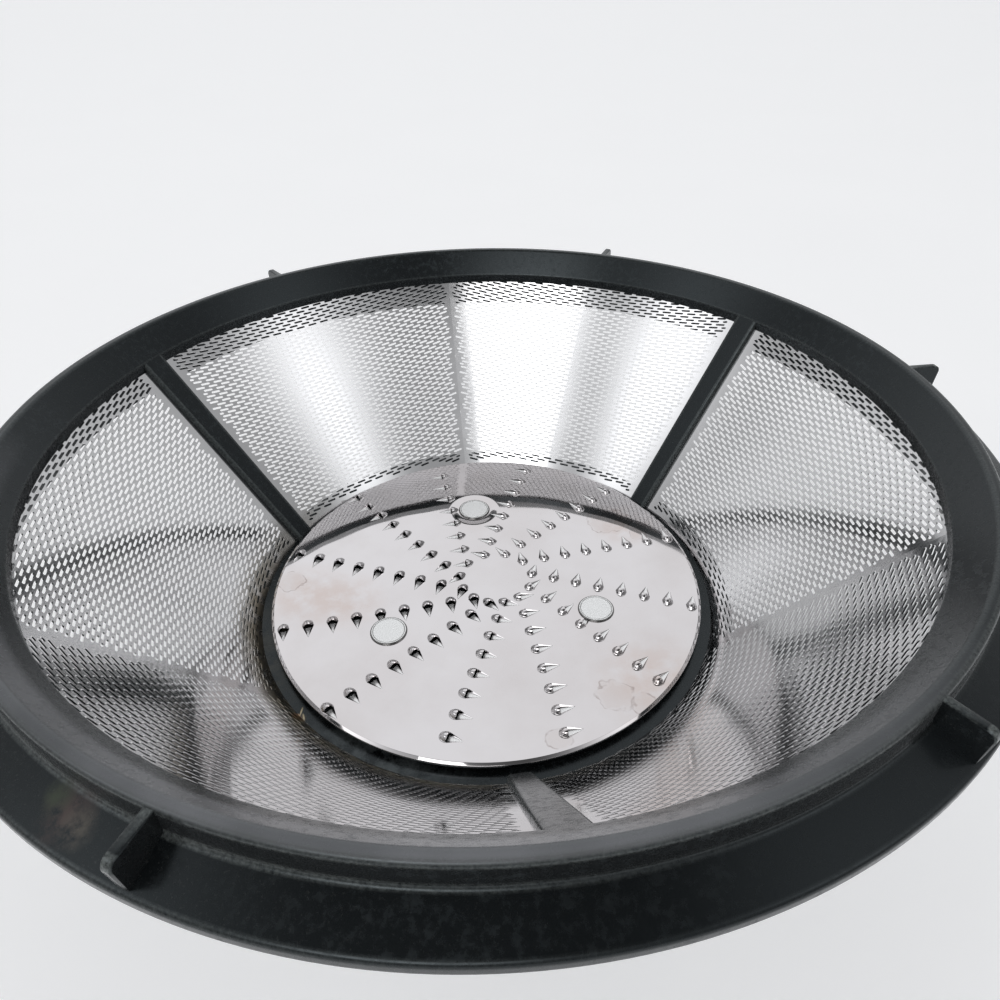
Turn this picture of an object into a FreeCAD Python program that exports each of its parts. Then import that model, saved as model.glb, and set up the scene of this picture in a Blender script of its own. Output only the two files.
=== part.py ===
"""Filter basket of a centrifugal juicer.

A black moulded frame holds a cone of perforated steel sheet. A steel grating disc is riveted to its floor.
The axis is Z, the foot ring stands on Z = 0, and the bowl opens upwards.
"""
import FreeCAD
import Part
import math
import os

# Driving dimensions, in millimetres and degrees

# Grating disc and its teeth
DISC_RADIUS = 42.5
DISC_THICKNESS = 0.8
DISC_TOP = 16.0              # upper face above the foot
DISC_BEVEL = 0.25
TOOTH_ROWS = 12
TOOTH_ROW_ANGLE = 160.5      # direction of the first row
TOOTH_ROW_OFFSET = 4.2       # each row passes the pattern's centre at this distance
TOOTH_FIRST = 6.0            # innermost tooth along its row, on average
TOOTH_STAGGER = 1.3          # rows on the +X side start farther out, those on the -X side nearer
TOOTH_STAGGER_ANGLE = 15.0
TOOTH_PITCH = 4.58
TOOTH_EDGE = 1.25            # least distance from a tooth to the disc's edge
TOOTH_RADIUS = 1.05
TOOTH_HEIGHT = 1.0
TOOTH_TAIL = 3.2             # length of the slit in front of the tooth
TOOTH_WALL = 0.3
TOOTH_SIDES = 4              # flats round a tooth's back
TOOTH_ROOT = 0.2             # tooth sunk into the disc
PATTERN_X = 1.25             # the teeth are punched off the disc's centre
PATTERN_Y = -0.45

# Rivets that hold the disc
RIVET_COUNT = 3
RIVET_CIRCLE = 23.0
RIVET_HEAD_RADIUS = 3.5
RIVET_HEAD = 0.3
RIVET_SHANK_RADIUS = 2.0
RIVET_TAIL_RADIUS = 3.0
RIVET_TAIL = 0.8
RIVET_ROUND = 0.15
RIVET_CLEARANCE = 0.05
POCKET_DEPTH = 1.2           # pockets in the floor's underside hide the rivets' tails
POCKET_GAP = 0.4

# Perforated cone
RING_WIDTH = 2.1             # base ring seen between the disc and the cone
RING_DROP = 2.0              # base ring lies this far below the disc's upper face
SCREEN_LEAN = 38.2           # cone wall against the axis
SCREEN_RISE = 36.2           # height of the open windows
SHEET = 0.6
SHEET_FOOT_GRIP = 1.6        # height of sheet held in the base ring
SHEET_RIM_GRIP = 2.8         # height of sheet held in the rim
SLOT_ROWS = 8
SLOT_HEIGHT = 2.4
SLOT_SHARE = 0.22            # length of a slot as a share of its panel's width
SLOT_MARGIN = 3.0            # plain sheet above and below the slots
PANEL_MARGIN = 2.0           # plain sheet beside a rib and at the middle of a window

# Ribs, rim, flange and fins of the frame
RIB_COUNT = 3
RIB_ANGLE = 35.8
RIB_FOOT_WIDTH = 4.6
RIB_RIM_WIDTH = 5.5
RIB_HEIGHT = 1.3             # rib thickness inside the sheet
RIB_BACK = 1.4               # rib thickness outside the sheet
RIB_DRAFT = 0.5              # each side leans in this far from the sheet to the rib's inner face
RIB_ROOT = 1.6               # rib sunk into the base ring
RIB_OVERRUN = 2.0            # rib sunk into the rim
RIB_GAP = 0.2                # rib's foot stands clear of the disc
RIM_STEP = 1.85              # height of the ledge between the windows and the rim's sloping face
RIM_BAND = 5.0               # height of the sloping face
LIP_WIDTH = 1.6
LIP_ROUND = 0.7
RIM_FLOOR = 1.0              # rim closes on the sheet's outside this far below the windows' top
SKIRT_DEPTH = 14.0           # lip down to the skirt's lower edge
SKIRT_WALL = 1.6
FLANGE_DROP = 3.7            # lip down to the flange
FLANGE_REACH = 5.7
FLANGE_FALL = 1.8
FLANGE_THICKNESS = 1.6
FLANGE_ROUND = 0.6
FIN_COUNT = 6
FIN_ANGLE = 6.5
FIN_WIDTH = 1.3
FIN_REACH = 5.7
FIN_DROP = 0.3
FIN_TAPER = 0.7
FIN_ROUND = 1.1

# Base of the frame
DISC_OVERHANG = 1.2          # disc stands over the edge of its seat
FLOOR_THICKNESS = 4.0
BEAD_WIDTH = 4.0             # bead round the foot of the cone
BEAD_RISE = 1.2
BEAD_ROUND = 1.0
FOOT_INSET = 1.6             # foot ring's outside, inwards from the foot of the cone
FOOT_WALL = 2.4
SOCKET_RADIUS = 8.0          # drive socket in the floor's underside
SOCKET_DEPTH = 2.5
KEYWAY_COUNT = 3
KEYWAY_WIDTH = 4.0
KEYWAY_REACH = 16.0

# Levels and radii that follow from them
DISC_UNDERSIDE = DISC_TOP - DISC_THICKNESS
RING_TOP = DISC_TOP - RING_DROP
WINDOW_TOP = RING_TOP + SCREEN_RISE
LEDGE_TOP = WINDOW_TOP + RIM_STEP
LIP_TOP = LEDGE_TOP + RIM_BAND
FLOOR_BOTTOM = DISC_UNDERSIDE - FLOOR_THICKNESS
POCKET_TOP = FLOOR_BOTTOM + POCKET_DEPTH
CONE_FOOT = DISC_RADIUS + RING_WIDTH
LEAN = math.radians(SCREEN_LEAN)
SLOPE = math.tan(LEAN)
SHEET_ACROSS = SHEET / math.cos(LEAN)


def cone_radius(height):
    """Radius of the sheet's inner face at a height."""
    return CONE_FOOT + (height - RING_TOP) * SLOPE


LEDGE_RADIUS = cone_radius(WINDOW_TOP)
RIM_RADIUS = LEDGE_RADIUS + RIM_BAND * SLOPE + LIP_WIDTH
FOOT_RADIUS = CONE_FOOT - FOOT_INSET

UP = FreeCAD.Vector(0, 0, 1)
ORIGIN = FreeCAD.Vector(0, 0, 0)


def outline(corners):
    """Closed face in the XZ plane from (x, z) or (x, z, rounding) corners."""
    points = [FreeCAD.Vector(corner[0], 0, corner[1]) for corner in corners]
    starts = []
    ends = []
    middles = []
    for index, corner in enumerate(corners):
        point = points[index]
        rounding = corner[2] if len(corner) == 3 else 0.0
        if rounding == 0.0:
            starts.append(point)
            ends.append(point)
            middles.append(None)
            continue
        back = (points[index - 1] - point).normalize()
        ahead = (points[(index + 1) % len(points)] - point).normalize()
        half = back.getAngle(ahead) / 2
        bisector = (back + ahead).normalize()
        starts.append(point + back * (rounding / math.tan(half)))
        ends.append(point + ahead * (rounding / math.tan(half)))
        middles.append(point + bisector * (rounding / math.sin(half) - rounding))
    edges = []
    for index, middle in enumerate(middles):
        if middle is not None:
            edges.append(Part.Arc(starts[index], middle, ends[index]).toShape())
        following = starts[(index + 1) % len(starts)]
        edges.append(Part.LineSegment(ends[index], following).toShape())
    return Part.Face(Part.Wire(edges))


def turned(corners, angle=360.0):
    """Solid of revolution about the axis."""
    return outline(corners).revolve(ORIGIN, UP, angle)


def plate(corners, width):
    """Upright plate in the XZ plane, centred on it."""
    solid = outline(corners).extrude(FreeCAD.Vector(0, width, 0))
    solid.translate(FreeCAD.Vector(0, -width / 2, 0))
    return solid


def placed_round(solid, count, first_angle):
    """Copies of a solid, evenly round the axis."""
    copies = []
    for index in range(count):
        copy = solid.copy()
        copy.rotate(ORIGIN, UP, first_angle + index * 360.0 / count)
        copies.append(copy)
    return copies


def plain_sheet():
    """Cone of sheet before it is perforated."""
    low = RING_TOP - SHEET_FOOT_GRIP
    high = WINDOW_TOP + SHEET_RIM_GRIP
    return turned([
        (cone_radius(low), low),
        (cone_radius(low) + SHEET_ACROSS, low),
        (cone_radius(high) + SHEET_ACROSS, high),
        (cone_radius(high), high),
    ])


def screen_cone():
    """Sheet with staggered rows of slots: each window has two panels, with a plain strip between them."""
    low = RING_TOP + SLOT_MARGIN
    high = WINDOW_TOP - SLOT_MARGIN
    pitch = (high - low) / (SLOT_ROWS - 1)
    half = SLOT_HEIGHT / 2 * math.cos(math.radians(SCREEN_LEAN))
    slots = []
    for panel in range(2 * RIB_COUNT):
        for row in range(SLOT_ROWS):
            height = low + row * pitch
            radius = cone_radius(height)
            margin = math.degrees((RIB_RIM_WIDTH / 2 + PANEL_MARGIN) / radius)
            width = 180.0 / RIB_COUNT - 2 * margin
            in_row = 3 - row % 2
            cutter = turned([
                (radius - half * SLOPE - SHEET_ACROSS, height - half),
                (radius - half * SLOPE + 2 * SHEET_ACROSS, height - half),
                (radius + half * SLOPE + 2 * SHEET_ACROSS, height + half),
                (radius + half * SLOPE - SHEET_ACROSS, height + half),
            ], SLOT_SHARE * width)
            for place in range(in_row):
                middle = margin + width * (2 * place + 1 + row % 2) / 6.0
                slot = cutter.copy()
                start = RIB_ANGLE + panel * 180.0 / RIB_COUNT + middle - SLOT_SHARE * width / 2
                slot.rotate(ORIGIN, UP, start)
                slots.append(slot)
    return plain_sheet().cut(slots)


def rivet():
    """Rivet on its own axis: flat head on the disc, shank through the floor, upset tail in its pocket."""
    head = DISC_TOP + RIVET_HEAD
    tail = POCKET_TOP - RIVET_TAIL
    return turned([
        (0, tail),
        (RIVET_TAIL_RADIUS, tail, RIVET_ROUND),
        (RIVET_TAIL_RADIUS, POCKET_TOP),
        (RIVET_SHANK_RADIUS, POCKET_TOP),
        (RIVET_SHANK_RADIUS, DISC_TOP),
        (RIVET_HEAD_RADIUS, DISC_TOP),
        (RIVET_HEAD_RADIUS, head, RIVET_ROUND),
        (0, head),
    ])


def disc_rivets():
    """The rivets as one group, each opposite a rib."""
    single = rivet()
    single.translate(FreeCAD.Vector(RIVET_CIRCLE, 0, 0))
    return Part.makeCompound(placed_round(single, RIVET_COUNT, RIB_ANGLE + 180.0 / RIB_COUNT))


def rivet_bores(radius, top):
    """Round cuts on the rivets' axes, from the foot up to a height."""
    bore = Part.makeCylinder(radius, top)
    bore.translate(FreeCAD.Vector(RIVET_CIRCLE, 0, 0))
    return placed_round(bore, RIVET_COUNT, RIB_ANGLE + 180.0 / RIB_COUNT)


def rivet_holes():
    """Clearance holes for the shanks."""
    return rivet_bores(RIVET_SHANK_RADIUS + RIVET_CLEARANCE, DISC_TOP)


def rivet_pockets():
    """Pockets for the tails in the floor's underside."""
    return rivet_bores(RIVET_TAIL_RADIUS + POCKET_GAP, POCKET_TOP)


def half_round(radius, front, height):
    """Plan of a tooth at a height: a half polygon on the -Y side, closed by a straight front."""
    points = [FreeCAD.Vector(radius, front, height)]
    for side in range(TOOTH_SIDES + 1):
        angle = math.pi * side / TOOTH_SIDES
        points.append(FreeCAD.Vector(radius * math.cos(angle), -radius * math.sin(angle), height))
    points.append(FreeCAD.Vector(-radius, front, height))
    return points


def pointed(base, tip):
    """Pyramid on a flat base."""
    ring = base + [base[0]]
    faces = [Part.Face(Part.makePolygon(ring))]
    for near, far in zip(ring, ring[1:]):
        faces.append(Part.Face(Part.makePolygon([near, far, tip, near])))
    solid = Part.Solid(Part.Shell(faces))
    if solid.Volume < 0:
        solid.reverse()
    return solid


def tooth_hood():
    """Raised half cone of a tooth at the origin, hollow and open towards +Y."""
    sunk = DISC_TOP - TOOTH_ROOT
    front = TOOTH_WALL / 2
    spread = TOOTH_RADIUS * (1 + TOOTH_ROOT / TOOTH_HEIGHT)
    outer = pointed(half_round(spread, front, sunk), FreeCAD.Vector(0, front, DISC_TOP + TOOTH_HEIGHT))
    inner_tip = FreeCAD.Vector(0, 2 * front, DISC_TOP + TOOTH_HEIGHT - 2 * TOOTH_WALL)
    inner = pointed(half_round(spread - TOOTH_WALL, 2 * front, DISC_UNDERSIDE), inner_tip)
    return outer.cut(inner)


def tooth_slit():
    """Opening under a tooth and in front of it, which runs to a point."""
    width = TOOTH_RADIUS - TOOTH_WALL
    points = half_round(width, 0, DISC_UNDERSIDE)
    points.append(FreeCAD.Vector(0, TOOTH_TAIL, DISC_UNDERSIDE))
    distinct = points[1:-2] + points[-1:]
    face = Part.Face(Part.makePolygon(distinct + distinct[:1]))
    return face.extrude(FreeCAD.Vector(0, 0, DISC_THICKNESS))


def tooth_places():
    """Placement of every tooth: straight rows that pass beside the centre of the pattern."""
    places = []
    for row in range(TOOTH_ROWS):
        angle = math.radians(TOOTH_ROW_ANGLE + row * 360.0 / TOOTH_ROWS)
        along = FreeCAD.Vector(math.cos(angle), math.sin(angle), 0)
        aside = FreeCAD.Vector(-math.sin(angle), math.cos(angle), 0)
        start = FreeCAD.Vector(PATTERN_X, PATTERN_Y, 0) + aside * TOOTH_ROW_OFFSET
        distance = TOOTH_FIRST + TOOTH_STAGGER * math.cos(angle - math.radians(TOOTH_STAGGER_ANGLE))
        while (start + along * distance).Length <= DISC_RADIUS - TOOTH_EDGE:
            turn = FreeCAD.Rotation(UP, math.degrees(angle))
            places.append(FreeCAD.Placement(start + along * distance, turn))
            distance += TOOTH_PITCH
    return places


def grating_disc():
    """Stamped disc with its punched teeth."""
    disc = turned([
        (0, DISC_UNDERSIDE),
        (DISC_RADIUS, DISC_UNDERSIDE),
        (DISC_RADIUS, DISC_TOP - DISC_BEVEL),
        (DISC_RADIUS - DISC_BEVEL, DISC_TOP),
        (0, DISC_TOP),
    ])
    hood = tooth_hood()
    slit = tooth_slit()
    hoods = []
    cuts = rivet_holes()
    for place in tooth_places():
        hoods.append(hood.transformed(place.toMatrix()))
        cuts.append(slit.transformed(place.toMatrix()))
    return disc.cut(cuts).fuse(hoods)


def rim():
    """Rim in section: ledge, sloping face, lip, flange, skirt, and the floor that closes on the sheet."""
    flange_root = LIP_TOP - FLANGE_DROP
    flange_edge = flange_root - FLANGE_FALL
    flange_radius = RIM_RADIUS + FLANGE_REACH
    skirt_bottom = LIP_TOP - SKIRT_DEPTH
    skirt_inside = RIM_RADIUS - SKIRT_WALL
    floor = WINDOW_TOP - RIM_FLOOR
    return turned([
        (LEDGE_RADIUS, WINDOW_TOP),
        (LEDGE_RADIUS, LEDGE_TOP),
        (RIM_RADIUS - LIP_WIDTH, LIP_TOP, LIP_ROUND),
        (RIM_RADIUS, LIP_TOP, LIP_ROUND),
        (RIM_RADIUS, flange_root, FLANGE_ROUND),
        (flange_radius, flange_edge, FLANGE_ROUND),
        (flange_radius, flange_edge - FLANGE_THICKNESS),
        (RIM_RADIUS, flange_edge - FLANGE_THICKNESS),
        (RIM_RADIUS, skirt_bottom),
        (skirt_inside, skirt_bottom),
        (skirt_inside, floor),
        (cone_radius(floor), floor),
    ])


def base():
    """Base in section: seat of the disc, ring, bead, foot ring, floor and drive socket."""
    seat = DISC_RADIUS - DISC_OVERHANG
    bead_radius = CONE_FOOT + BEAD_WIDTH
    bead_top = RING_TOP + BEAD_RISE
    return turned([
        (0, DISC_UNDERSIDE),
        (seat, DISC_UNDERSIDE),
        (seat, RING_TOP),
        (CONE_FOOT, RING_TOP),
        (cone_radius(bead_top), bead_top),
        (bead_radius, bead_top, BEAD_ROUND),
        (bead_radius, FLOOR_BOTTOM, BEAD_ROUND),
        (FOOT_RADIUS, FLOOR_BOTTOM),
        (FOOT_RADIUS, 0),
        (FOOT_RADIUS - FOOT_WALL, 0),
        (FOOT_RADIUS - FOOT_WALL, FLOOR_BOTTOM),
        (SOCKET_RADIUS, FLOOR_BOTTOM),
        (SOCKET_RADIUS, FLOOR_BOTTOM + SOCKET_DEPTH),
        (0, FLOOR_BOTTOM + SOCKET_DEPTH),
    ])


def ribs():
    """Ribs that clasp the sheet from base ring to rim, narrower towards the bowl."""
    foot = FreeCAD.Vector(CONE_FOOT, 0, RING_TOP)
    slant = FreeCAD.Vector(math.sin(LEAN), 0, math.cos(LEAN))
    inward = FreeCAD.Vector(-math.cos(LEAN), 0, math.sin(LEAN))
    aside = FreeCAD.Vector(0, 1, 0)
    length = SCREEN_RISE / math.cos(LEAN)
    sections = []
    for along, width in ((-RIB_ROOT, RIB_FOOT_WIDTH), (length + RIB_OVERRUN, RIB_RIM_WIDTH)):
        middle = foot + slant * along
        half = width / 2
        corners = [
            (half, -SHEET - RIB_BACK),
            (half, 0),
            (half - RIB_DRAFT, RIB_HEIGHT),
            (RIB_DRAFT - half, RIB_HEIGHT),
            (-half, 0),
            (-half, -SHEET - RIB_BACK),
        ]
        ring = [middle + aside * across + inward * rise for across, rise in corners + corners[:1]]
        sections.append(Part.makePolygon(ring))
    rib = Part.makeLoft(sections, True, True)
    rib = rib.cut(Part.makeCylinder(DISC_RADIUS + RIB_GAP, LIP_TOP))
    return placed_round(rib, RIB_COUNT, RIB_ANGLE)


def fins():
    """Gusset fins on the flange, with a rounded outer corner."""
    top = LIP_TOP - FIN_DROP
    root = LIP_TOP - FLANGE_DROP - FLANGE_FALL - FLANGE_THICKNESS / 2
    inside = RIM_RADIUS - SKIRT_WALL / 2
    tip = RIM_RADIUS + FIN_REACH
    fin = plate([
        (inside, root),
        (tip - FIN_TAPER, root),
        (tip, top, FIN_ROUND),
        (inside, top),
    ], FIN_WIDTH)
    return placed_round(fin, FIN_COUNT, FIN_ANGLE)


def keyways():
    """Drive keyways that run out from the socket, below the ribs."""
    keyway = plate([
        (SOCKET_RADIUS / 2, FLOOR_BOTTOM - SOCKET_DEPTH),
        (KEYWAY_REACH, FLOOR_BOTTOM - SOCKET_DEPTH),
        (KEYWAY_REACH, FLOOR_BOTTOM + SOCKET_DEPTH),
        (SOCKET_RADIUS / 2, FLOOR_BOTTOM + SOCKET_DEPTH),
    ], KEYWAY_WIDTH)
    return placed_round(keyway, KEYWAY_COUNT, RIB_ANGLE)


def basket_frame():
    """The whole moulding, less the sheet it is moulded round, the rivets' holes and the keyways."""
    solid = base().fuse([rim()] + ribs() + fins())
    cuts = [plain_sheet()] + rivet_holes() + rivet_pockets() + keyways()
    return solid.cut(cuts).removeSplitter()


os.makedirs("parts", exist_ok=True)
for name, make in (
    ("basket_frame", basket_frame),
    ("screen_cone", screen_cone),
    ("grating_disc", grating_disc),
    ("disc_rivets", disc_rivets),
):
    make().exportStep("parts/" + name + ".step")
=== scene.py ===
"""Filter basket of a centrifugal juicer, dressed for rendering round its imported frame.

Lengths are in metres.
"""
import math
from functools import partial

import bmesh
import bpy
from mathutils import Matrix, Vector


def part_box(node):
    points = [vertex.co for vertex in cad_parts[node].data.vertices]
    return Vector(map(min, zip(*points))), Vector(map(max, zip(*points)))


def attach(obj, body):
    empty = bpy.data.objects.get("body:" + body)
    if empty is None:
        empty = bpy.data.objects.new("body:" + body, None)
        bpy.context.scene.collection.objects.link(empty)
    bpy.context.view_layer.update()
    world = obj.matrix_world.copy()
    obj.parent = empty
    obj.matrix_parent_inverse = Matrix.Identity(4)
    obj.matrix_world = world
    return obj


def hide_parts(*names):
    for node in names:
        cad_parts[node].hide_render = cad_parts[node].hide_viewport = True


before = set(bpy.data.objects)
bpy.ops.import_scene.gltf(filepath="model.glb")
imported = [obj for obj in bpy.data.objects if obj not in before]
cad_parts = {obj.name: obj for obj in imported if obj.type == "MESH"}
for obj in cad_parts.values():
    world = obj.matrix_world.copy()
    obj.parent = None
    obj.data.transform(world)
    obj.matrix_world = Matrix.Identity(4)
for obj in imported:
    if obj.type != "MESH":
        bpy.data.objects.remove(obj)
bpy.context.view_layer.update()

# MOULDED FRAME
# One black plastic moulding: a rim with a lip, a flange and a skirt, a base that carries the disc, and
# three ribs between them that clasp the screen. It was moulded round the screen, so nothing fastens the two.

frame_low, frame_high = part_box("basket_frame")
disc_low, disc_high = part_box("grating_disc")
lip_top = frame_high.z
flange_radius = frame_high.x
disc_radius = disc_high.x
disc_underside = disc_low.z
disc_top = disc_underside + 0.0008
ring_top = disc_top - 0.0020            # base ring, seen between the disc and the screen
cone_foot = disc_radius + 0.0021        # screen's radius at the base ring
lean = math.radians(38.2)               # screen's wall against the axis
sheet = 0.0006
rib_count = 3
rib_angle = math.radians(35.8)          # first rib, counted from +X
rib_foot_width = 0.0046
rib_rim_width = 0.0055
rivet_count = 3
rivet_circle = 0.0230
rivet_angle = rib_angle + math.radians(60.0)
fin_count = 6
fin_angle = math.radians(6.5)           # first fin
turn_steps = 288                        # facets round the axis
crease_limit = 35.0                     # degrees between faces, above which an edge stays sharp
weld_gap = 1e-7                         # points of a turned solid that meet on the axis become one


def cone_radius(height):
    """Radius of the screen's inner face at a height."""
    return cone_foot + (height - ring_top) * math.tan(lean)


window_top = lip_top - 0.00685          # screen enters the rim here
ledge_top = window_top + 0.00185        # foot of the rim's sloping face
ledge_radius = cone_radius(window_top)
rim_radius = flange_radius - 0.0057
rim_lip = 0.0016
skirt_wall = 0.0016


def rounded(corners, steps=5, mark_fade_run=0.00025):
    """Section through (radius, height, rounding, mark) corners, where the mark is wear and painted light.

    The mark fades out a short run past each rounding.
    """
    section = []
    count = len(corners)
    for index, (radius, height, rounding, wear_and_painted_light) in enumerate(corners):
        corner = Vector((radius, height))
        before = Vector(corners[index - 1][:2]) - corner
        after = Vector(corners[(index + 1) % count][:2]) - corner
        if rounding == 0.0:
            section.append((corner, wear_and_painted_light))
            continue
        back, ahead = before.normalized(), after.normalized()
        half = back.angle(ahead) / 2
        run = rounding / math.tan(half)
        middle = corner + (back + ahead).normalized() * (rounding / math.sin(half))
        start = corner + back * run - middle
        sweep = start.angle_signed(corner + ahead * run - middle)
        section.append((corner + back * (run + mark_fade_run), 0.0))
        for place in range(steps + 1):
            angle = -sweep * place / steps
            spoke = Vector((start.x * math.cos(angle) - start.y * math.sin(angle),
                            start.x * math.sin(angle) + start.y * math.cos(angle)))
            section.append((middle + spoke, wear_and_painted_light))
        section.append((corner + ahead * (run + mark_fade_run), 0.0))
    return section


def placed(name, data):
    """Object of a mesh, a lamp or a camera, put in the scene."""
    piece = bpy.data.objects.new(name, data)
    bpy.context.scene.collection.objects.link(piece)
    return piece


def smoothed(mesh, crease):
    """Makes a mesh smooth where its faces meet at less than the crease."""
    for face in mesh.polygons:
        face.use_smooth = True
    mesh.set_sharp_from_angle(angle=math.radians(crease))
    return mesh


def solid_object(name, shape):
    """Smooth object of a finished shape."""
    mesh = bpy.data.meshes.new(name)
    shape.to_mesh(mesh)
    shape.free()
    return placed(name, smoothed(mesh, crease_limit))


def new_shape():
    """Empty shape whose points carry a mark of wear and painted light."""
    shape = bmesh.new()
    shape.verts.layers.float.new("wear_and_painted_light")
    return shape


def marked_loop(shape, points):
    """Loop of new points, from pairs of place and a mark of wear and painted light."""
    wear_and_light_mark = shape.verts.layers.float["wear_and_painted_light"]
    loop = []
    for place, wear_and_painted_light in points:
        vertex = shape.verts.new(place)
        vertex[wear_and_light_mark] = wear_and_painted_light
        loop.append(vertex)
    return loop


def join_loops(shape, loops):
    """Faces between each loop and the next."""
    for loop, following in zip(loops, loops[1:]):
        for place in range(len(loop)):
            nearer = place - 1
            shape.faces.new((loop[nearer], loop[place], following[place], following[nearer]))


def turned(name, section):
    """Closed solid of revolution from a section, with its marks of wear and painted light as an attribute.
    """
    shape = new_shape()
    rings = []
    for turn in range(turn_steps):
        angle = 2 * math.pi * turn / turn_steps
        ahead, aside = math.cos(angle), math.sin(angle)
        ring = [((point.x * ahead, point.x * aside, point.y), wear_and_painted_light) for point, wear_and_painted_light in section]
        rings.append(marked_loop(shape, ring))
    join_loops(shape, rings + rings[:1])
    bmesh.ops.remove_doubles(shape, verts=shape.verts, dist=weld_gap)
    loose = [edge for edge in shape.edges if edge.is_wire]
    bmesh.ops.delete(shape, geom=loose, context="EDGES")
    bmesh.ops.recalc_face_normals(shape, faces=shape.faces)
    return solid_object(name, shape)


def capped(name, shape, loops):
    """Closed solid through a row of loops, with a flat cap at both ends."""
    join_loops(shape, loops)
    shape.faces.new(loops[0])
    shape.faces.new(loops[-1])
    bmesh.ops.recalc_face_normals(shape, faces=shape.faces)
    return solid_object(name, shape)


flange_root = lip_top - 0.0037
flange_edge = flange_root - 0.0018
flange_thick = 0.0016
skirt_foot = lip_top - 0.0140
rim_floor = window_top - 0.0010
# Corners: radius, height, rounding, and a mark of wear and painted light. The marks on the lip's outer edge
# and the flange's root are mostly painted highlight, light lines where those edges catch the light.
rim_section = rounded([
    (ledge_radius, rim_floor, 0.0, 0.0),
    (ledge_radius, ledge_top, 0.00025, 0.7),
    (rim_radius - rim_lip, lip_top, 0.0007, 0.5),
    (rim_radius, lip_top, 0.0006, 1.1),
    (rim_radius, flange_root, 0.0006, 1.8),
    (flange_radius, flange_edge, 0.0006, 0.8),
    (flange_radius, flange_edge - flange_thick, 0.0003, 0.5),
    (rim_radius, flange_edge - flange_thick, 0.0003, 0.0),
    (rim_radius, skirt_foot, 0.0003, 0.4),
    (rim_radius - skirt_wall, skirt_foot, 0.0003, 0.3),
    (rim_radius - skirt_wall, rim_floor, 0.0003, 0.0),
])
frame_rim = turned("frame_rim", rim_section)

floor_bottom = disc_underside - 0.0040
foot_radius = cone_foot - 0.0016
foot_wall = 0.0024
bead_radius = cone_foot + 0.0040
bead_top = ring_top + 0.0012
seat_radius = disc_radius - 0.0012
socket_radius = 0.0080
socket_top = floor_bottom + 0.0025
base_section = rounded([
    (0.0, disc_underside, 0.0, 0.0),
    (seat_radius, disc_underside, 0.0, 0.0),
    (seat_radius, ring_top, 0.0003, 0.0),
    (cone_foot + sheet / 2, ring_top, 0.0, 0.0),
    (cone_radius(bead_top) + sheet / 2, bead_top, 0.0, 0.0),
    (bead_radius, bead_top, 0.0010, 0.4),
    (bead_radius, floor_bottom, 0.0010, 0.4),
    (foot_radius, floor_bottom, 0.0004, 0.0),
    (foot_radius, frame_low.z, 0.0004, 0.6),
    (foot_radius - foot_wall, frame_low.z, 0.0004, 0.5),
    (foot_radius - foot_wall, floor_bottom, 0.0004, 0.0),
    (socket_radius, floor_bottom, 0.0003, 0.2),
    (socket_radius, socket_top, 0.0, 0.0),
    (0.0, socket_top, 0.0, 0.0),
])
frame_base = turned("frame_base", base_section)


def swept_rib(name):
    """One rib on the +X side: a bar with rounded edges that widens from the base to the rim."""
    slant = Vector((math.sin(lean), 0.0, math.cos(lean)))
    inward = Vector((-math.cos(lean), 0.0, math.sin(lean)))
    foot = Vector((cone_foot, 0.0, ring_top))
    back, draft = sheet + 0.0014, 0.0002
    disc_gap = 0.0002
    clear = (disc_radius + disc_gap - cone_foot) / slant.x
    # each end: place along the sheet, width, height over the sheet
    ends = ((-0.0012, rib_foot_width, 0.0013), (0.0480, rib_rim_width, 0.00108))
    shape = new_shape()
    loops = []
    for along, width, height in ends:
        half = width / 2
        bar = rounded([
            (half - draft, height, 0.0008, 1.0),
            (draft - half, height, 0.0008, 1.0),
            (-half, 0.0, 0.0, 0.15),
            (-half, -back, 0.0004, 0.4),
            (half, -back, 0.0004, 0.4),
            (half, 0.0, 0.0, 0.15),
        ], steps=6, mark_fade_run=0.00012)
        loop = []
        for point, wear_and_painted_light in bar:
            start = max(along, clear - inward.x / slant.x * point.y)
            place = foot + slant * start + inward * point.y + Vector((0.0, point.x, 0.0))
            loop.append((place, wear_and_painted_light))
        loops.append(marked_loop(shape, loop))
    return capped(name, shape, loops)


def gusset_fin(name):
    """One fin on the +X side: an upright plate on the flange with a rounded outer corner."""
    top = lip_top - 0.0003
    root = flange_edge - flange_thick / 2
    inside = rim_radius - skirt_wall / 2
    tip = rim_radius + 0.0057
    half = 0.00065
    edge = 0.0002
    # The fins' top edges carry painted highlight over their scuffs; their flat sides carry little.
    flat_scuff, edge_scuff_and_highlight = 0.1, 2.6
    outline = rounded([
        (inside, root, 0.0, 0.0),
        (tip - 0.0007, root, 0.0, 0.2),
        (tip, top, 0.0011, 1.0),
        (inside, top, 0.0, 0.9),
    ], steps=7)
    centre = sum((point for point, wear_and_painted_light in outline), Vector((0.0, 0.0))) / len(outline)
    slices = ((-half, edge, flat_scuff), (-half + edge, 0.0, edge_scuff_and_highlight),
              (half - edge, 0.0, edge_scuff_and_highlight), (half, edge, flat_scuff))
    shape = new_shape()
    loops = []
    for across, inset, scuff_and_highlight in slices:
        loop = []
        for point, wear_and_painted_light in outline:
            shrunk = point + (centre - point).normalized() * inset
            loop.append(((shrunk.x, across, shrunk.y), wear_and_painted_light * scuff_and_highlight))
        loops.append(marked_loop(shape, loop))
    return capped(name, shape, loops)


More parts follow.
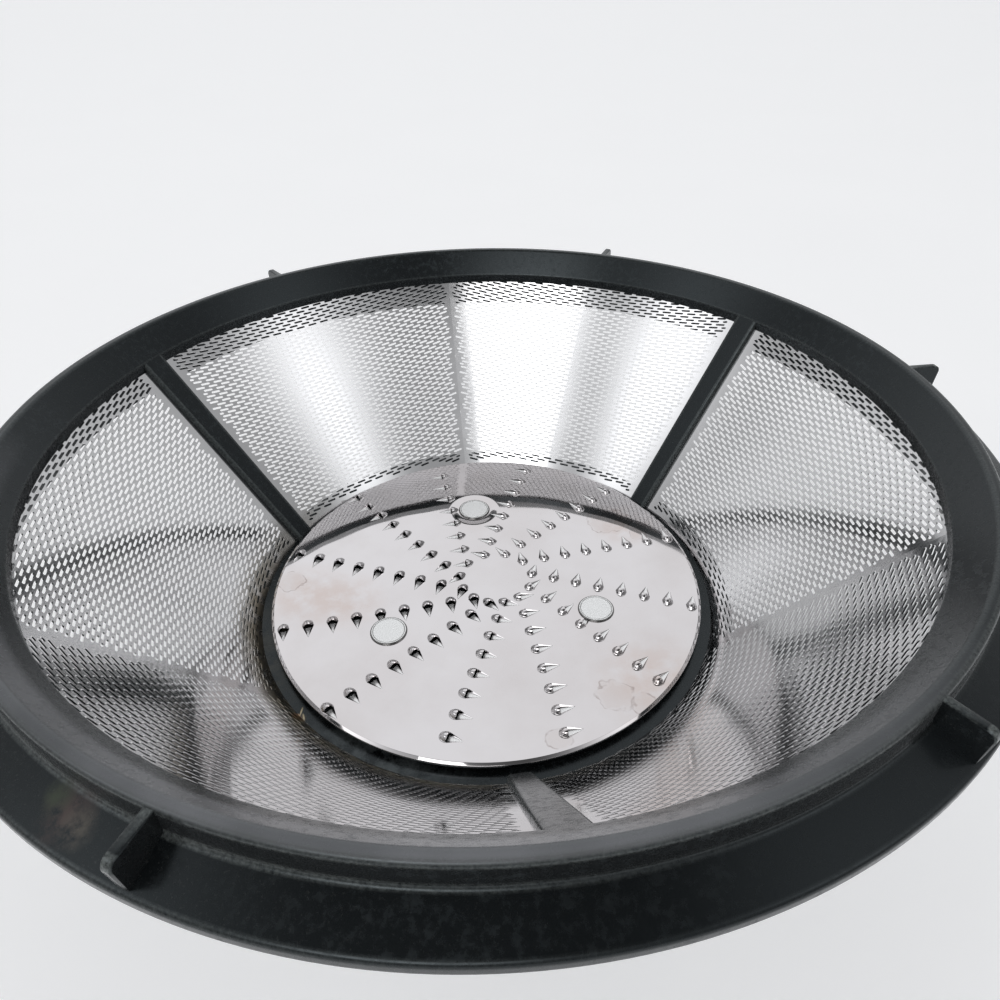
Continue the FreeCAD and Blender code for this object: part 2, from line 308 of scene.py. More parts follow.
def new_tree(name, **sizes):
    """Geometry node tree with named inputs. Returns the tree, its inputs by name, and its end socket."""
    tree = bpy.data.node_groups.new(name, "GeometryNodeTree")
    tree.interface.new_socket("Geometry", in_out="OUTPUT", socket_type="NodeSocketGeometry")
    for label, kind in sizes.items():
        tree.interface.new_socket(label, in_out="INPUT", socket_type="NodeSocket" + kind)
    given = tree.nodes.new("NodeGroupInput").outputs
    end = tree.nodes.new("NodeGroupOutput").inputs["Geometry"]
    return tree, given, end


def feed(tree, socket, value):
    """Links an output to a socket, or sets a plain value on it."""
    if isinstance(value, bpy.types.NodeSocket):
        tree.links.new(value, socket)
    else:
        socket.default_value = value


def feed_all(tree, node, **values):
    """Feeds a node's inputs by name, with underscores for spaces."""
    for label, value in values.items():
        feed(tree, node.inputs[label.replace("_", " ")], value)


def step(tree, kind, settings=None, **values):
    """Adds a node, with its settings and its inputs by name."""
    node = tree.nodes.new(kind)
    for setting, value in (settings or {}).items():
        setattr(node, setting, value)
    feed_all(tree, node, **values)
    return node


def reckon(tree, operation, *terms):
    """Adds one sum to a tree and returns its result."""
    node = tree.nodes.new("ShaderNodeMath")
    node.operation = operation
    for socket, term in zip(node.inputs, terms):
        feed(tree, socket, term)
    return node.outputs[0]


def grown(name, tree, **values):
    """Object that a tree makes from the values of its named inputs."""
    piece = placed(name, bpy.data.meshes.new(name))
    modifier = piece.modifiers.new("grown", "NODES")
    modifier.node_group = tree
    for item in tree.interface.items_tree:
        if item.in_out == "INPUT" and item.name in values:
            modifier[item.identifier] = values[item.name]
    return piece


def settled(piece, crease=crease_limit):
    """Turns a piece's modifiers into a plain smooth mesh."""
    bpy.context.view_layer.update()
    evaluated = piece.evaluated_get(bpy.context.evaluated_depsgraph_get())
    mesh = bpy.data.meshes.new_from_object(evaluated)
    piece.modifiers.clear()
    piece.data = smoothed(mesh, crease)
    return piece


def finish_tree(tree, shape, finish, end):
    """Gives a tree's result its material and sends it to the end socket."""
    done = step(tree, "GeometryNodeSetMaterial", Geometry=shape, Material=finish)
    tree.links.new(done.outputs["Geometry"], end)


def ring_tree():
    """Tree that sets copies of one shape evenly round the axis."""
    tree, given, end = new_tree(
        "ring_of_copies", Shape="Object", Count="Int", First_angle="Float", Finish="Material")
    dots = step(tree, "GeometryNodeMeshLine", Count=given["Count"], Offset=(0.0, 0.0, 0.0))
    place = tree.nodes.new("GeometryNodeInputIndex").outputs[0]
    share = reckon(tree, "DIVIDE", reckon(tree, "MULTIPLY", place, 2 * math.pi), given["Count"])
    angle = reckon(tree, "ADD", share, given["First_angle"])
    turn = step(tree, "ShaderNodeCombineXYZ", Z=angle)
    shape = step(tree, "GeometryNodeObjectInfo", Object=given["Shape"])
    copies = step(tree, "GeometryNodeInstanceOnPoints", Points=dots.outputs["Mesh"],
                  Instance=shape.outputs["Geometry"], Rotation=turn.outputs[0])
    real = step(tree, "GeometryNodeRealizeInstances", Geometry=copies.outputs["Instances"])
    finish_tree(tree, real.outputs["Geometry"], given["Finish"], end)
    return tree


ring_of_copies = ring_tree()


def ring_of(name, shape, count, first_angle, finish):
    """Copies of a shape round the axis, as one plain mesh."""
    piece = grown(name, ring_of_copies, Shape=shape, Count=count, First_angle=first_angle, Finish=finish)
    settled(piece)
    bpy.data.objects.remove(shape)
    return piece


def new_finish(name, **sockets):
    """Material with one principled shader. Returns it, its tree, the shader and object coordinates."""
    finish = bpy.data.materials.new(name)
    finish.use_nodes = True
    tree = finish.node_tree
    shader = tree.nodes["Principled BSDF"]
    feed_all(tree, shader, **sockets)
    return finish, tree, shader, tree.nodes.new("ShaderNodeTexCoord").outputs["Object"]


def noise(tree, place, scale, detail=2.0, roughness=0.5):
    """Noise on object coordinates: its value, about 0.5."""
    node = step(tree, "ShaderNodeTexNoise", Vector=place, Scale=scale, Detail=detail, Roughness=roughness)
    return node.outputs["Fac"]


def ramp(tree, value, low, high, at_low=0.0, at_high=1.0):
    """Straight ramp of a value between two levels."""
    node = step(tree, "ShaderNodeMapRange", Value=value, From_Min=low, From_Max=high,
                To_Min=at_low, To_Max=at_high)
    return node.outputs["Result"]


def blended(tree, share, first, second):
    """Colour between two colours."""
    node = tree.nodes.new("ShaderNodeMix")
    node.data_type = "RGBA"
    feed(tree, node.inputs[0], share)
    for socket, colour in ((node.inputs[6], first), (node.inputs[7], second)):
        feed(tree, socket, colour if isinstance(colour, bpy.types.NodeSocket) else (*colour, 1.0))
    return node.outputs[2]


def bumped(tree, height, depth, strength=1.0):
    """Normal of a bump whose height runs from 0 to 1 over a depth."""
    node = step(tree, "ShaderNodeBump", Height=height, Strength=strength, Distance=depth)
    return node.outputs["Normal"]


def measured(tree, operation, *vectors):
    """Length of a vector, or distance or dot product of two."""
    node = step(tree, "ShaderNodeVectorMath", {"operation": operation})
    for socket, vector in zip(node.inputs, vectors):
        feed(tree, socket, vector)
    return node.outputs["Value"]


def reach_towards(tree, place, x, y):
    """How far a point lies from the axis in one direction."""
    return measured(tree, "DOT_PRODUCT", place, Vector((x, y, 0.0)).normalized())


def nearest(tree, place, spots):
    """Distance to the nearest of a few points."""
    least = None
    for spot in spots:
        distance = measured(tree, "DISTANCE", place, spot)
        least = distance if least is None else reckon(tree, "MINIMUM", least, distance)
    return least


def stray_pulp(tree, place, colour):
    """Colour with a few dried strands of pulp, caught where the screen meets the base ring."""
    cream, peach, brown = (0.66, 0.56, 0.36), (0.62, 0.42, 0.27), (0.17, 0.105, 0.06)
    strand_height = 0.003
    for x, y, length, width, turn, tint in (
        (-0.0330, -0.0314, 0.0018, 0.0014, 30.0, brown),
        (-0.0331, -0.0303, 0.0006, 0.0005, 0.0, peach),
        (-0.0325, -0.0295, 0.0011, 0.0002, 84.0, cream),
        (-0.0319, -0.0306, 0.0009, 0.0002, 108.0, cream),
    ):
        strand = step(tree, "ShaderNodeMapping", {"vector_type": "TEXTURE"}, Vector=place,
                      Location=(x, y, ring_top), Rotation=(0.0, 0.0, math.radians(turn)),
                      Scale=(length, width, strand_height))
        away = measured(tree, "LENGTH", strand.outputs["Vector"])
        colour = blended(tree, ramp(tree, away, 0.5, 1.0, 0.9, 0.0), colour, tint)
    return colour


def black_plastic_finish():
    """Black moulded plastic with a mottled dried film, dust in its grain, and pale marks along its edges:
    real scuffs, with painted highlight where the lip's outer edge, the flange's root and the fins' tops
    catch the light.

    The front left of the lip is painted lighter, a painted sheen, and the flange at the front right is
    painted darker, a painted shade, with less film, dust and scuffs.
    """
    finish, tree, shader, place = new_finish(
        "black_plastic", Specular_IOR_Level=0.38, Specular_Tint=(0.84, 0.95, 1.0, 1.0),
        Sheen_Weight=0.1, Sheen_Roughness=0.4, Sheen_Tint=(0.95, 0.98, 1.0, 1.0))
    sums = partial(reckon, tree)
    apart = step(tree, "ShaderNodeSeparateXYZ", Vector=place).outputs
    level = step(tree, "ShaderNodeCombineXYZ", X=apart["X"], Y=apart["Y"])
    radius = measured(tree, "LENGTH", level.outputs[0])
    on_lip = ramp(tree, apart["Z"], lip_top - 0.0034, lip_top - 0.0022)
    inside_lip = ramp(tree, radius, rim_radius - 0.0004, rim_radius - 0.0001, 1.0, 0.0)
    front_right = ramp(tree, reach_towards(tree, place, 0.5, -0.85), 0.050, 0.078, 1.0, 0.12)
    front_left = ramp(tree, reach_towards(tree, place, -0.35, -0.94), 0.030, 0.068)
    # Painted shade: below the lip, the front right of the flange keeps little film, dust or scuffs, so it
    # reads darker.
    outside_painted_shade = sums("MAXIMUM", on_lip, front_right)
    # Painted sheen: the top of the lip at the front left is painted lighter.
    painted_sheen_mask = sums("MULTIPLY", sums("MULTIPLY", on_lip, front_left), inside_lip)
    wear_and_light_mark = step(tree, "ShaderNodeAttribute", {"attribute_name": "wear_and_painted_light"}).outputs["Fac"]
    cloud = noise(tree, place, 42.0, 3.0, 0.6)
    mottle = ramp(tree, noise(tree, place, 900.0, 3.0, 0.65), 0.48, 0.70)
    specks = ramp(tree, noise(tree, place, 3200.0, 2.0, 0.7), 0.60, 0.74)
    scuffs = ramp(tree, noise(tree, place, 2600.0, 3.0, 0.7), 0.30, 0.75)
    patchy = ramp(tree, noise(tree, place, 330.0, 4.0, 0.7), 0.40, 0.58)
    film = sums("MULTIPLY", mottle, ramp(tree, cloud, 0.44, 0.70, 0.0, 0.9))
    film = sums("MULTIPLY", film, outside_painted_shade)
    colour = blended(tree, cloud, (0.0030, 0.0038, 0.0043), (0.0070, 0.0082, 0.0088))
    colour = blended(tree, film, colour, (0.024, 0.029, 0.031))
    specks = sums("MULTIPLY", specks, ramp(tree, outside_painted_shade, 0.0, 1.0, 0.0, 0.16))
    colour = blended(tree, specks, colour, (0.14, 0.138, 0.130))
    # Painted sheen on the front left of the lip.
    painted_sheen = sums("MULTIPLY", painted_sheen_mask, ramp(tree, cloud, 0.35, 0.62, 0.45, 0.85))
    colour = blended(tree, painted_sheen, colour, (0.19, 0.19, 0.20))
    # Pale marks along edges: real scuffs, with painted highlight on the lip's outer edge, the flange's root
    # and the fins' tops.
    scuffed_and_lit = sums("MULTIPLY", wear_and_light_mark, scuffs)
    scuffed_and_lit = sums("MULTIPLY", scuffed_and_lit, ramp(tree, outside_painted_shade, 0.0, 1.0, 0.0, 0.6))
    colour = blended(tree, scuffed_and_lit, colour, (0.115, 0.125, 0.120))
    flange_face = flange_root - 0.0008
    # Stains on the flange and dirt on the base ring; the last, bluish-grey patch on the front of the base
    # ring is a painted sheen.
    for spot, reach, tint in (((-0.0410, -0.0698, flange_face), 0.0036, (0.070, 0.044, 0.038)),
                              ((-0.0426, -0.0680, flange_face), 0.0022, (0.040, 0.048, 0.026)),
                              ((-0.0396, -0.0712, flange_face), 0.0024, (0.090, 0.078, 0.062)),
                              ((-0.0405, -0.0165, ring_top), 0.0160, (0.034, 0.031, 0.023)),
                              ((-0.0190, -0.0395, ring_top), 0.0170, (0.074, 0.083, 0.085))):
        near = ramp(tree, nearest(tree, place, [spot]), 0.2 * reach, reach, 1.0, 0.0)
        colour = blended(tree, sums("MULTIPLY", near, patchy), colour, tint)
    grain = noise(tree, place, 3000.0, 3.0, 0.6)
    feed_all(tree, shader, Base_Color=stray_pulp(tree, place, colour),
             Roughness=ramp(tree, mottle, 0.0, 1.0, 0.22, 0.36), Normal=bumped(tree, grain, 0.00002, 0.12))
    return finish


def keyway_cutter(name):
    """Cutter on the +X side for one drive keyway, which runs out from the socket."""
    inner, outer = socket_radius / 2, 0.0160
    width, depth = 0.0040, 2 * (socket_top - floor_bottom)
    middle = Matrix.Translation(((inner + outer) / 2, 0.0, floor_bottom))
    shape = bmesh.new()
    size = Matrix.Diagonal((outer - inner, width, depth, 1.0))
    bmesh.ops.create_cube(shape, size=1.0, matrix=middle @ size)
    return solid_object(name, shape)


def pocket_cutter(name):
    """Cutter on the +X side for one pocket, which takes the upset tail of a rivet."""
    radius, depth = 0.0034, 0.0012
    middle = Matrix.Translation((rivet_circle, 0.0, floor_bottom))
    shape = bmesh.new()
    bmesh.ops.create_cone(shape, cap_ends=True, segments=48, radius1=radius, radius2=radius,
                          depth=2 * depth, matrix=middle)
    return solid_object(name, shape)


def cut_round(piece, shape, count, first_angle):
    """Cuts copies of a shape out of a piece, evenly round the axis."""
    cutters = ring_of("cutters", shape, count, first_angle, black_plastic)
    cut = piece.modifiers.new("cut", "BOOLEAN")
    cut.operation = "DIFFERENCE"
    cut.solver = "EXACT"
    cut.object = cutters
    settled(piece)
    bpy.data.objects.remove(cutters)


black_plastic = black_plastic_finish()
frame_rim.data.materials.append(black_plastic)
frame_base.data.materials.append(black_plastic)
cut_round(frame_base, keyway_cutter("keyway_shape"), rib_count, rib_angle)
cut_round(frame_base, pocket_cutter("pocket_shape"), rivet_count, rivet_angle)
frame_ribs = ring_of("frame_ribs", swept_rib("rib_shape"), rib_count, rib_angle, black_plastic)
frame_fins = ring_of("frame_fins", gusset_fin("fin_shape"), fin_count, fin_angle, black_plastic)
for piece in (frame_rim, frame_base, frame_ribs, frame_fins):
    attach(piece, "root")
    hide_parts("basket_frame")

# PERFORATED SCREEN
# One cone of thin stainless sheet with thousands of fine slots, punched in straight staggered rows while
# the sheet was flat. It has two panels in each window, with a plain strip between them and beside the ribs.

slot_pitch = 0.00302
row_gap = 0.00071
slot_half = 0.00106                     # half a slot's length
slot_end = 0.00022                      # half its width, and its ends' radius
screen_gauge = 0.00022
panel_columns = 29
panel_rows = 80
rib_margin = 0.0012                     # plain sheet beside a rib
seam_margin = 0.00050                   # plain sheet beside the middle of a window
foot_margin = 0.0011                    # plain sheet over the base ring
frame_grip = 0.0018                     # sheet held in the frame
brick_weld = 1e-5                       # corners of neighbouring bricks become one
panel_half = math.radians(30.0) * math.sin(lean)
foot_distance = cone_foot / math.sin(lean)
rim_distance = ledge_radius / math.sin(lean)
apex_height = ring_top - cone_foot / math.tan(lean)


def sheet_cell(name, left, right):
    """One brick of the flat sheet with a slot between two places. Equal places leave the brick plain."""
    edge, top = slot_pitch / 2, row_gap / 2
    shape = bmesh.new()

    def dot(x, y):
        return shape.verts.new((x, y, 0.0))

    below = [dot(-edge, -top), dot(0.0, -top), dot(edge, -top)]
    above = [dot(edge, top), dot(0.0, top), dot(-edge, top)]
    if right > left:
        slanted = slot_end * math.sqrt(0.5)
        ends = []
        for side, tip in ((1.0, right), (-1.0, left)):
            middle = tip - side * slot_end
            ends.append([
                dot(middle, -side * slot_end),
                dot(middle + side * slanted, -side * slanted),
                dot(tip, 0.0),
                dot(middle + side * slanted, side * slanted),
                dot(middle, side * slot_end),
            ])
        near_right, near_left = ends
        shape.faces.new(below + [near_right[0], near_left[-1]])
        shape.faces.new([below[2], above[0]] + near_right[::-1])
        shape.faces.new(above + [near_left[0], near_right[-1]])
        shape.faces.new([above[2], below[0]] + near_left[::-1])
    else:
        shape.faces.new(below + above)
    mesh = bpy.data.meshes.new(name)
    shape.to_mesh(mesh)
    shape.free()
    return placed(name, mesh)


def length_across(tree, x, y):
    """Distance of a point on a flat sheet from the sheet's origin."""
    squares = reckon(tree, "ADD", reckon(tree, "MULTIPLY", x, x), reckon(tree, "MULTIPLY", y, y))
    return reckon(tree, "SQRT", squares)


def panel_tree():
    """Tree that lays bricks on the flat sheet, trims them to one panel, and bends it round the cone."""
    tree, given, end = new_tree(
        "perforated_panel", Slotted="Object", Rib_short="Object", Seam_short="Object", Plain="Object",
        Columns="Int", Rows="Int", Pitch="Float", Row_gap="Float", Slot_half="Float", Half_angle="Float",
        Lean="Float", Apex_height="Float", Panel_angle="Float", Rib_side="Float", Foot="Float", Rim="Float",
        Rib_half="Float", Rib_flare="Float", Rib_margin="Float", Seam_margin="Float", Foot_margin="Float",
        Grip="Float", Finish="Material")
    sums = partial(reckon, tree)

    def here():
        position = tree.nodes.new("GeometryNodeInputPosition").outputs[0]
        apart = step(tree, "ShaderNodeSeparateXYZ", Vector=position)
        return apart.outputs["X"], apart.outputs["Y"]

    pitch, gap = given["Pitch"], given["Row_gap"]
    slope = sums("TANGENT", given["Half_angle"])
    aside, ahead = sums("COSINE", given["Half_angle"]), sums("SINE", given["Half_angle"])

    grid = step(tree, "GeometryNodeMeshGrid", Vertices_X=given["Columns"], Vertices_Y=given["Rows"],
                Size_X=sums("MULTIPLY", sums("SUBTRACT", given["Columns"], 1.0), pitch),
                Size_Y=sums("MULTIPLY", sums("SUBTRACT", given["Rows"], 1.0), gap))
    x, y = here()
    middle = sums("MULTIPLY", sums("ADD", sums("MULTIPLY", given["Foot"], aside), given["Rim"]), 0.5)
    row = sums("ROUND", sums("ADD", sums("DIVIDE", y, gap), sums("MULTIPLY", given["Rows"], 0.5)))
    shift = sums("MULTIPLY", sums("MODULO", row, 2.0), sums("MULTIPLY", pitch, 0.5))
    laid = step(tree, "ShaderNodeCombineXYZ", X=sums("ADD", x, shift), Y=sums("ADD", y, middle))
    bricks = step(tree, "GeometryNodeSetPosition", Geometry=grid.outputs["Mesh"], Position=laid.outputs[0])

    x, y = here()
    along, across = sums("MULTIPLY", y, ahead), sums("MULTIPLY", x, aside)
    distance = length_across(tree, x, y)
    to_rib = sums("SUBTRACT", along, sums("MULTIPLY", across, given["Rib_side"]))
    to_seam = sums("ADD", along, sums("MULTIPLY", across, given["Rib_side"]))
    least = sums("MULTIPLY", sums("MULTIPLY", pitch, -0.49), aside)
    kept = sums("GREATER_THAN", sums("MINIMUM", to_rib, to_seam), least)
    low_end = sums("SUBTRACT", given["Foot"], given["Grip"])
    high_end = sums("ADD", given["Rim"], given["Grip"])
    kept = sums("MULTIPLY", kept, sums("GREATER_THAN", distance, low_end))
    kept = sums("MULTIPLY", kept, sums("LESS_THAN", distance, high_end))
    reach = sums("MULTIPLY", given["Slot_half"], aside)
    up = sums("SUBTRACT", distance, given["Foot"])
    rib_edge = sums("ADD", given["Rib_half"], given["Rib_margin"])
    rib_edge = sums("ADD", rib_edge, sums("MULTIPLY", up, given["Rib_flare"]))
    punched = sums("MULTIPLY", kept, sums("GREATER_THAN", up, given["Foot_margin"]))
    punched = sums("MULTIPLY", punched, sums("LESS_THAN", distance, sums("ADD", given["Rim"], gap)))
    clear_of_rib = sums("GREATER_THAN", sums("SUBTRACT", to_rib, reach), rib_edge)
    clear_of_seam = sums("GREATER_THAN", sums("SUBTRACT", to_seam, reach), given["Seam_margin"])
    past_rib = sums("MULTIPLY", punched, sums("GREATER_THAN", to_rib, rib_edge))
    past_seam = sums("MULTIPLY", punched, sums("GREATER_THAN", to_seam, given["Seam_margin"]))
    at_rib = sums("SUBTRACT", past_rib, sums("MULTIPLY", punched, clear_of_rib))
    at_seam = sums("SUBTRACT", past_seam, sums("MULTIPLY", punched, clear_of_seam))
    by_rib, by_seam = sums("MULTIPLY", clear_of_seam, at_rib), sums("MULTIPLY", clear_of_rib, at_seam)
    whole = sums("MULTIPLY", punched, sums("MULTIPLY", clear_of_rib, clear_of_seam))
    plain = sums("SUBTRACT", sums("SUBTRACT", kept, whole), sums("ADD", by_rib, by_seam))
    laid_out = step(tree, "GeometryNodeJoinGeometry")
    choices = {"Slotted": whole, "Rib_short": by_rib, "Seam_short": by_seam, "Plain": plain}
    for source, chosen in choices.items():
        brick = step(tree, "GeometryNodeObjectInfo", Object=given[source])
        copies = step(tree, "GeometryNodeInstanceOnPoints", Points=bricks.outputs["Geometry"],
                      Selection=chosen, Instance=brick.outputs["Geometry"])
        tree.links.new(copies.outputs["Instances"], laid_out.inputs[0])
    flat = step(tree, "GeometryNodeRealizeInstances", Geometry=laid_out.outputs[0])

    x, y = here()
    limit = sums("MULTIPLY", y, slope)
    inside = sums("MINIMUM", sums("MAXIMUM", x, sums("MULTIPLY", limit, -1.0)), limit)
    trimmed = step(tree, "GeometryNodeSetPosition", Geometry=flat.outputs["Geometry"],
                   Position=step(tree, "ShaderNodeCombineXYZ", X=inside, Y=y).outputs[0])
    welded = step(tree, "GeometryNodeMergeByDistance", Geometry=trimmed.outputs["Geometry"],
                  Distance=brick_weld)

    x, y = here()
    distance = length_across(tree, x, y)
    narrow = sums("SINE", given["Lean"])
    turn = sums("ADD", sums("DIVIDE", sums("ARCTAN2", x, y), narrow), given["Panel_angle"])
    radius = sums("MULTIPLY", distance, narrow)
    height = sums("ADD", sums("MULTIPLY", distance, sums("COSINE", given["Lean"])), given["Apex_height"])
    wrapped = step(tree, "ShaderNodeCombineXYZ", X=sums("MULTIPLY", radius, sums("COSINE", turn)),
                   Y=sums("MULTIPLY", radius, sums("SINE", turn)), Z=height)
    bent = step(tree, "GeometryNodeSetPosition", Geometry=welded.outputs["Geometry"],
                Position=wrapped.outputs[0])
    finish_tree(tree, bent.outputs["Geometry"], given["Finish"], end)
    return tree


def screen_steel_finish():
    """Bright rolled sheet with a thin dull film, darker and browner along its foot at the front left."""
    finish, tree, shader, place = new_finish("screen_steel", Metallic=1.0)
    sums = partial(reckon, tree)
    film = noise(tree, place, 70.0, 2.0, 0.6)
    wave = noise(tree, place, 90.0, 1.0, 0.5)
    height = step(tree, "ShaderNodeSeparateXYZ", Vector=place).outputs["Z"]
    foot = ramp(tree, height, ring_top + 0.0020, ring_top + 0.0062, 0.9, 0.0)
    front_left = ramp(tree, reach_towards(tree, place, -0.75, -0.66), 0.004, 0.036)
    patchy = ramp(tree, noise(tree, place, 330.0, 1.0, 0.6), 0.30, 0.55, 0.5, 1.0)
    # The foot at the front left is painted darker and browner.
    darker_foot = sums("MULTIPLY", sums("MULTIPLY", foot, front_left), patchy)
    colour = blended(tree, film, (0.68, 0.675, 0.68), (0.78, 0.775, 0.78))
    colour = blended(tree, darker_foot, colour, (0.27, 0.235, 0.175))
    sheen, dull = ramp(tree, film, 0.25, 0.75, 0.07, 0.14), ramp(tree, darker_foot, 0.0, 1.0, 0.0, 0.25)
    feed_all(tree, shader, Base_Color=stray_pulp(tree, place, colour),
             Roughness=sums("ADD", sheen, dull), Normal=bumped(tree, wave, 0.00010, 0.2))
    return finish


screen_steel = screen_steel_finish()
perforated_panel = panel_tree()
slotted_cell = sheet_cell("slotted_cell", -slot_half, slot_half)
short_cells = {
    1.0: sheet_cell("left_short_cell", -slot_half, 0.0),
    -1.0: sheet_cell("right_short_cell", 0.0, slot_half),
}
plain_cell = sheet_cell("plain_cell", 0.0, 0.0)
for window in range(rib_count):
    halves = []
    for side in (-1.0, 1.0):
        half = grown(
            "screen_half", perforated_panel, Slotted=slotted_cell, Rib_short=short_cells[side],
            Seam_short=short_cells[-side], Plain=plain_cell, Columns=panel_columns, Rows=panel_rows,
            Pitch=slot_pitch, Row_gap=row_gap, Slot_half=slot_half, Half_angle=panel_half, Lean=lean,
            Apex_height=apex_height,
            Panel_angle=rib_angle + math.radians(120.0 * window + 60.0 + side * 30.0), Rib_side=side,
            Foot=foot_distance, Rim=rim_distance, Rib_half=rib_foot_width / 2,
            Rib_flare=(rib_rim_width - rib_foot_width) / 2 / (rim_distance - foot_distance),
            Rib_margin=rib_margin, Seam_margin=seam_margin, Foot_margin=foot_margin, Grip=frame_grip,
            Finish=screen_steel)
        wall = half.modifiers.new("wall", "SOLIDIFY")
        wall.thickness = screen_gauge
        wall.offset = 1.0
        halves.append(settled(half))
    joined = bmesh.new()
    for half in halves:
        joined.from_mesh(half.data)
        bpy.data.objects.remove(half)
    screen_window = solid_object("screen_window_%d" % (window + 1), joined)
    screen_window.data.materials.append(screen_steel)
    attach(screen_window, "root")
    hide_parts("screen_cone")
for cell in (slotted_cell, plain_cell, *short_cells.values()):
    bpy.data.objects.remove(cell)

# GRATING DISC
# A polished stainless disc that shreds what is pushed against it, riveted to the base. Its teeth are
# punched in twelve straight rows that spiral out: each is a raised hood over a mouth, with a groove that
# runs into the mouth.

tooth_rows = 12
teeth_per_row = 9
tooth_row_angle = math.radians(160.5)
tooth_row_offset = 0.0042
tooth_first = 0.0060
tooth_stagger = 0.0013
tooth_stagger_angle = math.radians(15.0)
tooth_pitch = 0.00458
tooth_reach = disc_radius - 0.00125
pattern_x, pattern_y = 0.00125, -0.00045
tooth_height = disc_high.z - disc_top
disc_wall = 0.00025
disc_edge_width = 0.0006
disc_bevel = 0.0005
disc_bevel_tilt = math.radians(30.0)
disc_crease = 48.0
tooth_weld = 1e-6                       # a tooth's rim and the edge of its cut become one
level_normal = 0.99999                  # upright part of a flat face's normal


def mesh_object(name, vertices, edges, faces):
    """Object from plain lists."""
    mesh = bpy.data.meshes.new(name)
    mesh.from_pydata(vertices, edges, faces)
    return placed(name, mesh)


def tooth_shapes():
    """One tooth on the disc's face, its groove towards +Y, and the outline of the cut it stands in."""
    brim, mouth, tail, depth, sides = 0.00115, 0.00026, 0.0031, 0.00036, 8
    stretch, overhang, lip = 1.3, 0.0002, 0.88
    # Shade and frost above zero is painted shade, darker round the hood's foot and along the groove's edges;
    # below zero it frosts the groove's floor paler.
    # hood: radius, share of the height, shade and frost; groove: share of the half width, share of the
    # depth, shade and frost
    hood = ((brim, 0.0, 0.0), (0.00102, 0.03, 0.20), (0.00092, 0.14, 0.16), (0.00084, 0.36, 0.10),
            (0.00066, 0.63, 0.06), (0.00036, 0.82, 0.05))
    groove = ((1.0, 0.0, 0.0), (0.90, 0.22, 0.20), (0.72, 0.66, 0.0), (0.40, 0.95, -0.8), (0.0, 1.0, -1.0),
              (-0.40, 0.95, -0.8), (-0.72, 0.66, 0.0), (-0.90, 0.22, 0.20), (-1.0, 0.0, 0.0))
    vertices, shade_and_frost, faces = [], [], []
    for radius, rise, shade_and_frost_value in hood:
        for place in range(sides + 1):
            angle = math.pi * place / sides
            back = rise * overhang - stretch * radius * math.sin(angle)
            vertices.append((radius * math.cos(angle), back, rise * tooth_height))
            shade_and_frost.append(shade_and_frost_value)
    row = sides + 1
    for ring in range(len(hood) - 1):
        for place in range(sides):
            first = ring * row + place
            faces.append((first + 1, first, first + row, first + row + 1))
    tip = len(vertices)
    vertices.append((0.0, lip * overhang, lip * tooth_height))
    shade_and_frost.append(0.0)
    last = (len(hood) - 1) * row
    for place in range(sides):
        faces.append((last + place + 1, last + place, tip))
    start, wide = len(vertices), len(groove)
    stations = (mouth, 0.5 * (mouth + tail), 0.85 * tail)
    for along in stations:
        half, low = brim * (1.0 - along / tail), depth * (tail - along) / (tail - mouth)
        for across, drop, shade_and_frost_value in groove:
            vertices.append((across * half, along, -drop * low))
            shade_and_frost.append(shade_and_frost_value)
    faces.append((0, start, start + 1, 2 * row))
    faces.append((sides, 2 * row + sides, start + wide - 2, start + wide - 1))
    for station in range(len(stations) - 1):
        for place in range(wide - 1):
            first = start + station * wide + place
            faces.append((first, first + wide, first + wide + 1, first + 1))
    point = len(vertices)
    vertices.append((0.0, tail, 0.0))
    shade_and_frost.append(0.0)
    last = start + (len(stations) - 1) * wide
    for place in range(wide - 1):
        faces.append((last + place, point, last + place + 1))
    around = [vertices[place] for place in range(row)]
    around += [vertices[start + station * wide + wide - 1] for station in range(len(stations))]
    around.append(vertices[point])
    around += [vertices[start + station * wide] for station in reversed(range(len(stations)))]
    ties = [(place, (place + 1) % len(around)) for place in range(len(around))]
    tooth = mesh_object("tooth_shape", vertices, [], faces)
    tooth.data.attributes.new("shade_and_frost", "FLOAT", "POINT").data.foreach_set("value", shade_and_frost)
    return tooth, mesh_object("tooth_outline", around, ties, [])


